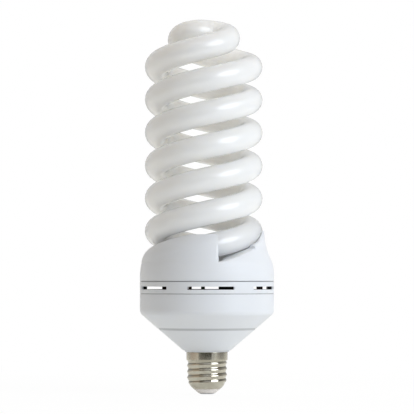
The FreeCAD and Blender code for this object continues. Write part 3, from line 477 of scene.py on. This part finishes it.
@dataclass(frozen=True)
class Finish:
    """One surface finish: base and second colours, gloss and grain."""

    name: str
    colour: tuple[float, float, float]
    second: tuple[float, float, float]
    patch_scale: float = 40.0
    patch_amount: float = 0.3
    roughness: float = 0.35
    roughness_spread: float = 0.06
    grain_scale: float = 900.0
    grain_depth: float = 0.00001
    metallic: float = 0.0
    coat: float = 0.0
    coat_roughness: float = 0.05
    subsurface: float = 0.0
    subsurface_depth: float = 0.002
    specular: float = 0.5
    # inside: the colour of a painted shade on the shells' inner faces, near black as the inside is in shade.
    inside: tuple[float, float, float] | None = None
    lines: tuple[ShadeLine, ...] = ()
    thread: ThreadShade | None = None

    def build(self) -> bpy.types.Material:
        """Makes the material, with its patches and grain in the object's own space.

        Returns:
            The material.
        """
        material = bpy.data.materials.new(self.name)
        material.use_nodes = True
        sheet = NodeSheet(material.node_tree)
        shader = material.node_tree.nodes["Principled BSDF"]
        mottle = sheet.add("ShaderNodeGroup", node_tree=EFFECTS.get(Effect.MOTTLE))
        mottle.inputs["Color"].default_value = (*self.colour, 1.0)
        mottle.inputs["Second"].default_value = (*self.second, 1.0)
        mottle.inputs["Scale"].default_value = self.patch_scale
        mottle.inputs["Amount"].default_value = self.patch_amount
        colour = mottle.outputs["Color"]
        for line in self.lines:
            ring = sheet.add("ShaderNodeGroup", node_tree=EFFECTS.get(Effect.LINE_SHADE))
            ring.inputs["Radial"].default_value = 1.0 if line.radial else 0.0
            ring.inputs["Centre"].default_value = line.centre * MM
            ring.inputs["Half Width"].default_value = line.half_width * MM
            colour = sheet.blend(ring.outputs["Mask"], colour, tuple(part * line.depth for part in self.colour))
        if self.thread:
            wound = sheet.add("ShaderNodeGroup", node_tree=EFFECTS.get(Effect.THREAD_SHADE))
            wound.inputs["Pitch"].default_value = self.thread.pitch * MM
            wound.inputs["Front"].default_value = self.thread.front * MM
            wound.inputs["Low"].default_value = self.thread.low * MM
            wound.inputs["High"].default_value = self.thread.high * MM
            dark = tuple(part * self.thread.depth for part in self.colour)
            colour = sheet.blend(wound.outputs["Mask"], colour, dark)
        # The shells' inner faces get a painted shade, near black, in place of the shade inside the housing.
        if self.inside:
            inner = sheet.add("ShaderNodeGroup", node_tree=EFFECTS.get(Effect.SHELL_INSIDE))
            colour = sheet.blend(inner.outputs["Mask"], colour, self.inside)
        sheet.link(colour, shader.inputs["Base Color"])
        moulded = sheet.add("ShaderNodeGroup", node_tree=EFFECTS.get(Effect.MOULDED))
        moulded.inputs["Scale"].default_value = self.grain_scale
        moulded.inputs["Roughness"].default_value = self.roughness
        moulded.inputs["Spread"].default_value = self.roughness_spread
        sheet.link(moulded.outputs["Roughness"], shader.inputs["Roughness"])
        bump = sheet.add("ShaderNodeBump", inputs={"Strength": 0.5, "Distance": self.grain_depth})
        sheet.link(moulded.outputs["Height"], bump.inputs["Height"])
        sheet.link(bump.outputs["Normal"], shader.inputs["Normal"])
        shader.inputs["Metallic"].default_value = self.metallic
        shader.inputs["Coat Weight"].default_value = self.coat
        shader.inputs["Coat Roughness"].default_value = self.coat_roughness
        shader.inputs["Specular IOR Level"].default_value = self.specular
        if self.subsurface:
            shader.inputs["Subsurface Weight"].default_value = self.subsurface
            shader.inputs["Subsurface Scale"].default_value = self.subsurface_depth
            shader.inputs["Subsurface Radius"].default_value = (1.0, 0.95, 0.85)
        return material


@dataclass
class FinishShelf:
    """The finishes of the bulb, each made once and given to the pieces that wear it."""

    finishes: dict[str, Finish] = field(default_factory=lambda: {
        finish.name: finish for finish in (
            Finish("opal_glass", (0.975, 0.969, 0.943), (0.947, 0.94, 0.904), patch_scale=18.0, patch_amount=0.35,
                   roughness=0.42, coat=1.0, coat_roughness=0.12, subsurface=1.0, subsurface_depth=0.038,
                   grain_depth=0.000002),
            # inside is a painted shade on the shells' inner faces; the lines are painted shade in the grooves.
            Finish("holder_plastic", (0.78, 0.80, 0.84), (0.76, 0.78, 0.82), patch_scale=12.0, roughness=0.46,
                   subsurface=0.35, subsurface_depth=0.004, grain_depth=0.000006, inside=(0.03, 0.03, 0.03),
                   lines=(ShadeLine(74.9, 0.4, 0.38),)),
            Finish("housing_plastic", (0.77, 0.79, 0.83), (0.75, 0.77, 0.81), patch_scale=12.0, roughness=0.46,
                   subsurface=0.35, subsurface_depth=0.004, grain_depth=0.000006, inside=(0.03, 0.03, 0.03),
                   lines=(ShadeLine(74.9, 0.4, 0.38), ShadeLine(66.7, 0.4, 0.6),
                          ShadeLine(32.5, 1.1, 0.68, radial=True))),
            Finish("cap_metal", (0.575, 0.55, 0.462), (0.50, 0.445, 0.365), patch_scale=260.0, patch_amount=0.6,
                   roughness=0.1, roughness_spread=0.08, metallic=1.0, grain_scale=1500.0, grain_depth=0.000004,
                   thread=ThreadShade(4.0, 9.07, 6.5, 22.3, 0.55)),
            Finish("cap_insulator", (0.88, 0.83, 0.80), (0.80, 0.75, 0.72), patch_scale=300.0, patch_amount=0.5,
                   roughness=0.5),
            Finish("solder", (0.60, 0.60, 0.61), (0.42, 0.42, 0.44), patch_scale=500.0, patch_amount=0.7,
                   roughness=0.32, roughness_spread=0.2, metallic=1.0, grain_scale=700.0, grain_depth=0.00008),
            Finish("cement", (0.74, 0.73, 0.69), (0.62, 0.61, 0.57), patch_scale=350.0, patch_amount=0.6,
                   roughness=0.85, grain_depth=0.0002),
            Finish("board", (0.36, 0.24, 0.10), (0.29, 0.18, 0.07), patch_scale=260.0, patch_amount=0.6,
                   roughness=0.6, grain_depth=0.00003),
            Finish("capacitor_sleeve", (0.02, 0.022, 0.03), (0.035, 0.038, 0.05), patch_scale=150.0,
                   roughness=0.3, coat=0.3),
            Finish("ferrite", (0.055, 0.055, 0.06), (0.09, 0.09, 0.095), patch_scale=600.0, roughness=0.55,
                   grain_depth=0.00003),
            Finish("bobbin", (0.62, 0.58, 0.48), (0.56, 0.52, 0.42), roughness=0.5),
            Finish("copper", (0.46, 0.16, 0.06), (0.36, 0.11, 0.04), patch_scale=900.0, patch_amount=0.6,
                   roughness=0.35, metallic=0.8, grain_scale=1600.0, grain_depth=0.0001),
            Finish("thermistor", (0.06, 0.11, 0.06), (0.08, 0.14, 0.08), patch_scale=500.0, roughness=0.6),
            Finish("tinned_wire", (0.62, 0.62, 0.62), (0.5, 0.5, 0.5), patch_scale=900.0, roughness=0.3,
                   roughness_spread=0.15, metallic=1.0),
            Finish("resistor", (0.12, 0.085, 0.05), (0.09, 0.06, 0.035), patch_scale=700.0, roughness=0.45),
            Finish("wire_sleeve", (0.66, 0.66, 0.65), (0.6, 0.6, 0.58), patch_scale=300.0, roughness=0.5),
            Finish("film_capacitor", (0.035, 0.012, 0.01), (0.028, 0.01, 0.009), patch_scale=400.0,
                   roughness=0.4, coat=0.2),
            Finish("semiconductor", (0.018, 0.018, 0.018), (0.03, 0.03, 0.03), patch_scale=700.0, roughness=0.5,
                   grain_depth=0.00003),
        )
    })
    made: dict[str, bpy.types.Material] = field(default_factory=dict)

    def dress(self, item: bpy.types.Object, name: str) -> None:
        """Gives an object one finish all over.

        Args:
            item: the object.
            name: the finish's name, which is also its material slot.
        """
        if name not in self.made:
            self.made[name] = self.finishes[name].build()
        if not item.data.materials:
            item.data.materials.append(None)
        for index in range(len(item.data.materials)):
            item.data.materials[index] = self.made[name]


@dataclass
class GlassTube:
    """The opal tube: two strands wound to the right, which cross over at the top."""

    shift: float = -2.2
    radius: float = 31.0
    lead: float = 43.9
    right_height: float = 108.1
    tube_radius: float = 8.25
    end_angle: float = -105.0
    draw_in_angle: float = 990.0
    axis_angle: float = 1210.7
    cross_span: float = 57.0
    cross_radius: float = 19.0
    step: float = 5.0
    section_resolution: int = 10

    def reach(self, left: float) -> float:
        """Distance from the coil's axis along the strand.

        Args:
            left: the turn that is left until the strand meets the axis, in radians.

        Returns:
            The distance, in millimetres.
        """
        span, cross = math.radians(self.axis_angle - self.draw_in_angle), math.radians(self.cross_span)
        if left >= span:
            return self.radius
        if left <= cross:
            return self.cross_radius * math.sin(left)
        inner, slope = self.cross_radius * math.sin(cross), self.cross_radius * math.cos(cross)
        part = (left - cross) / (span - cross)
        return ((2 * part ** 3 - 3 * part ** 2 + 1) * inner
                + (part ** 3 - 2 * part ** 2 + part) * slope * (span - cross)
                + (3 * part ** 2 - 2 * part ** 3) * self.radius)

    def height(self, angle: float) -> float:
        """Height of the strand's centre line, which levels off towards the crossing.

        Args:
            angle: the turn from the front, in degrees.

        Returns:
            The height, in millimetres.
        """
        cross_angle = self.axis_angle - self.cross_span
        if angle <= cross_angle:
            return self.right_height + self.lead * (angle - 90) / 360
        left, cross = math.radians(self.axis_angle - angle), math.radians(self.cross_span)
        rise = self.lead / (2 * math.pi)
        return self.height(cross_angle) + rise / (2 * cross) * (cross ** 2 - left ** 2)

    def strand(self) -> list[Vector]:
        """The front strand's centre line, from its end inside the hood up to the axis.

        Returns:
            Its points, in metres.
        """
        count = round((self.axis_angle - self.end_angle) / self.step)
        spots = []
        for number in range(count + 1):
            angle = self.end_angle + (self.axis_angle - self.end_angle) * number / count
            turn = math.radians(angle)
            reach = self.reach(math.radians(self.axis_angle - angle))
            spots.append(Vector((self.shift + reach * math.sin(turn), -reach * math.cos(turn),
                                 self.height(angle))) * MM)
        return spots

    def build(self, shelf: FinishShelf) -> None:
        """Models the tube along its route and dresses it.

        Args:
            shelf: where its finish comes from.
        """
        first = self.strand()
        second = [Vector((2 * self.shift * MM - p.x, -p.y, p.z)) for p in first]
        route = first + second[-2::-1]
        clear_selection()
        bpy.ops.curve.primitive_bezier_curve_add()
        item = bpy.context.object
        curve = item.data
        curve.splines.clear()
        spline = curve.splines.new("POLY")
        spline.points.add(len(route) - 1)
        for point, place in zip(spline.points, route):
            point.co = (*place, 1.0)
        curve.dimensions = "3D"
        curve.twist_mode = "Z_UP"
        curve.bevel_depth = self.tube_radius * MM
        curve.bevel_resolution = self.section_resolution
        curve.use_fill_caps = True
        item.matrix_world = Matrix.Identity(4)
        make_active(item)
        bpy.ops.object.convert(target="MESH")
        item = bpy.context.object
        tidy_mesh(item, merge=1e-6, smooth=50.0)
        shelf.dress(item, "opal_glass")
        finish_piece(item, "spiral_tube", "opal_glass", "glass_tube")


@dataclass
class ScrewCap:
    """The screw cap's rolled shell, with its knuckle thread as a true helix. Sizes are in millimetres."""

    mouth_height: float = 3.3
    mouth_radius: float = 8.9
    shoulder: float = 7.7
    thread_rise: float = 2.5
    thread_length: float = 16.0
    pitch: float = 4.0
    crest_radius: float = 13.25
    root_radius: float = 12.5
    front_crest: float = 7.8
    collar_radius: float = 13.7
    collar_flare: float = 0.9
    top: float = 28.0
    lip: tuple[tuple[float, float], ...] = ((0.0, 0.55), (0.0, 0.3), (0.04, 0.08), (0.12, 0.0))
    flare_rings: int = 6
    wall: float = 0.3
    steps: int = 144
    rings: int = 90

    def reach(self, height: float) -> float:
        """Radius half way between crest and root, drawn in below the shoulder.

        Args:
            height: the height over the contact.

        Returns:
            The radius.
        """
        middle = (self.crest_radius + self.root_radius) / 2
        draw = middle - self.mouth_radius
        below = self.mouth_height + self.shoulder - height
        if below <= 0:
            return middle
        bow = (draw ** 2 + self.shoulder ** 2) / (2 * draw)
        return middle - bow + math.sqrt(bow ** 2 - below ** 2)

    def depth_share(self, height: float) -> float:
        """Share of the thread's full depth, 0 outside the thread.

        Args:
            height: the height over the contact.

        Returns:
            The share, from 0 to 1.
        """
        start = self.mouth_height + self.thread_rise
        end = start + self.thread_length
        share = max(0.0, min(1.0, (height - start) / (self.pitch / 2), (end - height) / (self.pitch / 4)))
        return eased(share)

    def profile(self) -> list[tuple[float, float]]:
        """The outside of the sheet, without the thread.

        Returns:
            Radius and height of each point.
        """
        end = self.mouth_height + self.thread_rise + self.thread_length
        spots = []
        for step in range(self.rings + 1):
            height = self.mouth_height + (end - self.mouth_height) * step / self.rings
            spots.append((self.reach(height), height))
        middle = self.reach(end)
        for step in range(1, self.flare_rings + 1):
            share = step / self.flare_rings
            spots.append((middle + (self.collar_radius - middle) * eased(share), end + self.collar_flare * share))
        spots.append((self.collar_radius, end + self.collar_flare + 0.25))
        spots += [(self.collar_radius - inward, self.top - down) for inward, down in self.lip]
        return spots

    def build(self, shelf: FinishShelf) -> None:
        """Spins the sheet's outer and inner line and rolls the thread into it.

        Args:
            shelf: where its finish comes from.
        """
        outer = self.profile()
        inner = [(radius - self.wall, height) for radius, height in reversed(outer)]
        item = turned_shape([(radius * MM, height * MM) for radius, height in outer + inner], self.steps)
        depth = (self.crest_radius - self.root_radius) / 2
        for vertex in item.data.vertices:
            height = vertex.co.z / MM
            turn = math.atan2(vertex.co.y, vertex.co.x) + math.pi / 2
            phase = 2 * math.pi * (height - self.front_crest) / self.pitch - turn
            wave = depth * self.depth_share(height) * math.cos(phase)
            reach = math.hypot(vertex.co.x, vertex.co.y)
            factor = (reach + wave * MM) / reach
            vertex.co.x *= factor
            vertex.co.y *= factor
        tidy_mesh(item, merge=1e-7, smooth=60.0)
        shelf.dress(item, "cap_metal")
        finish_piece(item, "threaded_shell", "cap_metal", "screw_shell")


@dataclass
class CarriedPieces:
    """The frame's own pieces that keep their shape, and copies of the shells with clean shading."""

    shells: dict[str, str] = field(default_factory=lambda: {
        "tube_holder": "upper_shell", "lower_housing": "lower_shell",
        "cap_insulator": "cap_ring", "centre_contact": "solder_button",
    })
    merge: float = 2e-6
    smooth: float = 28.0

    def build(self, shelf: FinishShelf) -> None:
        """Dresses every node, and copies the shells so that they shade smooth.

        Args:
            shelf: where the finishes come from.
        """
        slots = {row["node"]: row["material_slot"] for row in frame["record"]["subparts"]}
        for name, item in frame["nodes"].items():
            shelf.dress(item, slots[name])
        for name, piece in self.shells.items():
            self.copy_shell(name, piece, slots[name], shelf)

    def copy_shell(self, name: str, piece: str, slot: str, shelf: FinishShelf) -> None:
        """Stands a smoothly shaded copy in for a node.

        Args:
            name: the node's name.
            piece: the copy's name.
            slot: its material slot.
            shelf: where its finish comes from.
        """
        source = frame["nodes"][name]
        item = bpy.data.objects.new(piece, source.data.copy())
        bpy.context.scene.collection.objects.link(item)
        make_active(item)
        bpy.ops.object.mode_set(mode="EDIT")
        bpy.ops.mesh.select_all(action="SELECT")
        bpy.ops.mesh.remove_doubles(threshold=self.merge)
        bpy.ops.object.mode_set(mode="OBJECT")
        bpy.ops.object.shade_smooth_by_angle(angle=math.radians(self.smooth))
        weigh = item.modifiers.new("weighted", "WEIGHTED_NORMAL")
        weigh.keep_sharp = True
        bpy.ops.object.modifier_apply(modifier=weigh.name)
        shelf.dress(item, slot)
        finish_piece(item, piece, slot, name)


@dataclass
class Studio:
    """A plain white studio: a pale floor, a soft lamp on the right, the room around it and the camera.

    The lights are in watts and in linear colours, the angles in degrees and the lengths in metres.
    """

    camera_distance: float = 1.75
    camera_height: float = 0.079
    aim_height: float = 0.1244
    view_width: float = 0.276
    sensor: float = 36.0
    floor_drop: float = 0.0004
    key_azimuth: float = 48.0
    key_rise: float = 22.0
    key_distance: float = 1.5
    key_size: tuple[float, float] = (1.2, 1.15)
    key_power: float = 15.0
    key_colour: tuple[float, float, float] = (0.88, 0.94, 1.0)
    room_left: tuple[float, float, float] = (0.210, 0.185, 0.155)
    room_middle: tuple[float, float, float] = (1.100, 1.130, 1.240)
    room_right: tuple[float, float, float] = (0.240, 0.240, 0.240)
    room_above: tuple[float, float, float] = (0.500, 0.450, 0.360)
    room_behind: tuple[float, float, float] = (1.340, 1.320, 1.290)
    room_dark: tuple[float, float, float] = (0.04, 0.04, 0.035)
    table_light: tuple[float, float, float] = (0.130, 0.140, 0.140)
    dark_from: float = -46.0
    dark_to: float = 24.0
    dark_fade: float = 6.0
    dark_low: float = -0.35
    dark_high: float = 0.42
    dark_soft: float = 0.1
    room_mirrored: tuple[float, float, float] = (0.560, 0.480, 0.420)
    back_mirrored: tuple[float, float, float] = (0.52, 0.52, 0.52)
    side_fade: tuple[float, float] = (0.1, 0.75)
    above_fade: tuple[float, float] = (0.35, 0.95)
    behind_fade: tuple[float, float] = (-0.1, 0.7)
    floor_colour: tuple[float, float, float] = (0.82, 0.82, 0.81)
    floor_white: float = 0.95
    floor_size: float = 1.3
    floor_front: float = 0.54
    floor_near: float = 0.12
    floor_far: float = 0.5

    def place_camera(self) -> None:
        """Stands the camera at the photograph's place and frames the bulb."""
        data = bpy.data.cameras.new("camera")
        item = bpy.data.objects.new("camera", data)
        bpy.context.scene.collection.objects.link(item)
        tilt = math.atan2(self.aim_height - self.camera_height, self.camera_distance)
        item.location = (0.0, -self.camera_distance, self.camera_height)
        item.rotation_euler = (math.pi / 2 + tilt, 0.0, 0.0)
        data.sensor_width = self.sensor
        data.lens = self.sensor * self.camera_distance / self.view_width
        data.clip_start = 0.05
        bpy.context.scene.camera = item

    def lamp(self, name: str, azimuth: float, rise: float, distance: float,
             width: tuple[float, float], power: float, colour: tuple[float, float, float]) -> None:
        """Adds an oval lamp that looks at the bulb's middle.

        Args:
            name: the lamp's name.
            azimuth: degrees from the camera's side of the bulb, to the right.
            rise: degrees above the bulb's middle.
            distance: from the bulb's middle, in metres.
            width: the lamp's two widths.
            power: its power in watts.
            colour: its colour.
        """
        data = bpy.data.lights.new(name, "AREA")
        data.shape = "ELLIPSE"
        data.size, data.size_y = width
        data.energy = power
        data.color = colour
        item = bpy.data.objects.new(name, data)
        bpy.context.scene.collection.objects.link(item)
        turn, lift = math.radians(azimuth), math.radians(rise)
        middle = Vector((0.0, 0.0, self.aim_height))
        way = Vector((math.sin(turn) * math.cos(lift), -math.cos(turn) * math.cos(lift), math.sin(lift)))
        item.location = middle + way * distance
        item.rotation_euler = (-way).to_track_quat("-Z", "Y").to_euler()

    def light(self) -> None:
        """Hangs the lamp."""
        self.lamp("key", self.key_azimuth, self.key_rise, self.key_distance, self.key_size, self.key_power,
                  self.key_colour)

    def world(self) -> None:
        """White for the camera, and a room with a light and a dark side for the light that falls on the bulb."""
        world = bpy.data.worlds.new("studio")
        bpy.context.scene.world = world
        world.use_nodes = True
        tree = world.node_tree
        tree.nodes.clear()
        sheet = NodeSheet(tree)
        place = sheet.add("ShaderNodeTexCoord")
        split = sheet.add("ShaderNodeSeparateXYZ")
        sheet.link(place.outputs["Generated"], split.inputs["Vector"])
        leftward = sheet.ramp(split.outputs["X"], *(-side for side in self.side_fade))
        rightward = sheet.ramp(split.outputs["X"], *self.side_fade)
        room = sheet.blend(leftward, self.room_middle, self.room_left)
        ray = sheet.add("ShaderNodeLightPath")
        room = sheet.blend(sheet.all_of(ray.outputs["Is Glossy Ray"], leftward), room, self.room_mirrored)
        room = sheet.blend(rightward, room, self.room_right)
        room = sheet.blend(sheet.ramp(split.outputs["Z"], *self.above_fade), room, self.room_above)
        turn = sheet.math("ARCTAN2", split.outputs["X"], sheet.math("MULTIPLY", split.outputs["Y"], -1.0))
        dark = sheet.all_of(
            sheet.ramp(turn, math.radians(self.dark_from - self.dark_fade), math.radians(self.dark_from)),
            sheet.ramp(turn, math.radians(self.dark_to + self.dark_fade), math.radians(self.dark_to)),
            sheet.ramp(split.outputs["Z"], self.dark_low - self.dark_soft, self.dark_low),
            sheet.ramp(split.outputs["Z"], self.dark_high + self.dark_soft, self.dark_high))
        room = sheet.blend(dark, room, self.room_dark)
        backward = sheet.ramp(split.outputs["Y"], *self.behind_fade)
        behind = sheet.blend(ray.outputs["Is Glossy Ray"], self.room_behind, self.back_mirrored)
        room = sheet.blend(backward, room, behind)
        light = sheet.add("ShaderNodeBackground", inputs={"Strength": 1.0})
        sheet.link(room, light.inputs["Color"])
        seen = sheet.add("ShaderNodeBackground", inputs={"Color": (1.0, 1.0, 1.0, 1.0), "Strength": 1.0})
        mix = sheet.add("ShaderNodeMixShader")
        sheet.link(ray.outputs["Is Camera Ray"], mix.inputs[0])
        sheet.link(light.outputs[0], mix.inputs[1])
        sheet.link(seen.outputs[0], mix.inputs[2])
        leave = sheet.add("ShaderNodeOutputWorld")
        sheet.link(mix.outputs[0], leave.inputs["Surface"])

    def floor(self) -> None:
        """A pale floor that looks white to the camera and keeps the bulb's shadow."""
        clear_selection()
        bpy.ops.mesh.primitive_plane_add(
            size=self.floor_size, location=(0.0, self.floor_size / 2 - self.floor_front, -self.floor_drop))
        item = bpy.context.object
        item.name = "floor"
        material = bpy.data.materials.new("floor_paper")
        material.use_nodes = True
        tree = material.node_tree
        shader = tree.nodes["Principled BSDF"]
        shader.inputs["Base Color"].default_value = (*self.floor_colour, 1.0)
        shader.inputs["Roughness"].default_value = 0.9
        shader.inputs["Emission Color"].default_value = (*self.table_light, 1.0)
        shader.inputs["Emission Strength"].default_value = 1.0
        sheet = NodeSheet(tree)
        glow = sheet.add("ShaderNodeEmission", inputs={"Color": (1.0, 1.0, 1.0, 1.0), "Strength": 1.0})
        place = sheet.add("ShaderNodeTexCoord")
        reach = sheet.add("ShaderNodeVectorMath", operation="DISTANCE")
        reach.inputs[1].default_value = (0.0, self.floor_front - self.floor_size / 2, 0.0)
        sheet.link(place.outputs["Object"], reach.inputs[0])
        fade = sheet.add("ShaderNodeMapRange", interpolation_type="SMOOTHSTEP",
                         inputs={"From Min": self.floor_near, "From Max": self.floor_far,
                                 "To Min": self.floor_white})
        sheet.link(reach.outputs["Value"], fade.inputs["Value"])
        ray = sheet.add("ShaderNodeLightPath")
        mix = sheet.add("ShaderNodeMixShader")
        sheet.link(sheet.all_of(ray.outputs["Is Camera Ray"], fade.outputs["Result"]), mix.inputs[0])
        sheet.link(shader.outputs[0], mix.inputs[1])
        sheet.link(glow.outputs[0], mix.inputs[2])
        sheet.link(mix.outputs[0], tree.nodes["Material Output"].inputs["Surface"])
        item.data.materials.append(material)

    def build(self) -> None:
        """Sets up everything that isn't the bulb."""
        self.place_camera()
        self.light()
        self.world()
        self.floor()
        bpy.context.scene.view_settings.view_transform = "Standard"


def main() -> None:
    """Builds the bulb's pieces in order, then the studio."""
    logging.basicConfig(level=logging.INFO, format="%(message)s")
    shelf = FinishShelf()
    CarriedPieces().build(shelf)
    GlassTube().build(shelf)
    ScrewCap().build(shelf)
    Studio().build()


if __name__ == "__main__":
    main()
